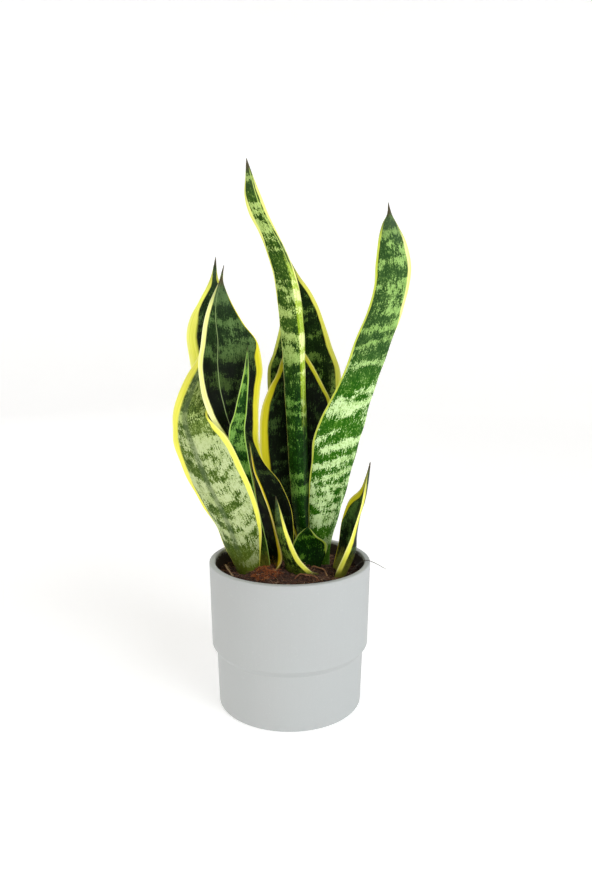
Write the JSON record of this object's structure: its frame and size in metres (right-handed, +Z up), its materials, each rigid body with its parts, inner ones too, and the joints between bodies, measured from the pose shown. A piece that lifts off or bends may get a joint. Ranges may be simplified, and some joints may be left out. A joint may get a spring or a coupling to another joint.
{
  "type": "potted snake plant",
  "caption": "Upright houseplant with stiff, sword-shaped, yellow-edged leaves, growing in a round, stepped, matt grey pot.",
  "frame": {"origin": "centre of the pot's flat underside", "axes": "+Z up along the pot's axis; -Y is the plant's front, +X the side that the long arching leaf leans to"},
  "size_m": [0.2012, 0.14, 0.455],
  "materials": {
    "pot_composite": "matt, finely speckled mineral-filled plastic",
    "potting_mix": "coarse peat and coir fibre, damp and matt",
    "rootstock": "fleshy, smooth, dull",
    "leaf": "waxy, satin, mottled green with yellow margins",
    "root": "dry, matt"
  },
  "bodies": {
    "root": {"pot": "pot_composite", "potting_mix": "potting_mix", "rootstock": "rootstock", "leaf_front_left": "leaf", "leaf_left_centre": "leaf", "leaf_back_left": "leaf", "leaf_small_left": "leaf", "leaf_clasping": "leaf", "leaf_small_front": "leaf", "leaf_cut_stub": "leaf", "leaf_tall_keeled": "leaf", "leaf_broad_shaded": "leaf", "leaf_back_centre": "leaf", "leaf_right_arching": "leaf", "leaf_small_right": "leaf", "root_left": "root", "root_right": "root", "root_over_rim": "root", "root_front": "root"}
  },
  "joints": []
}
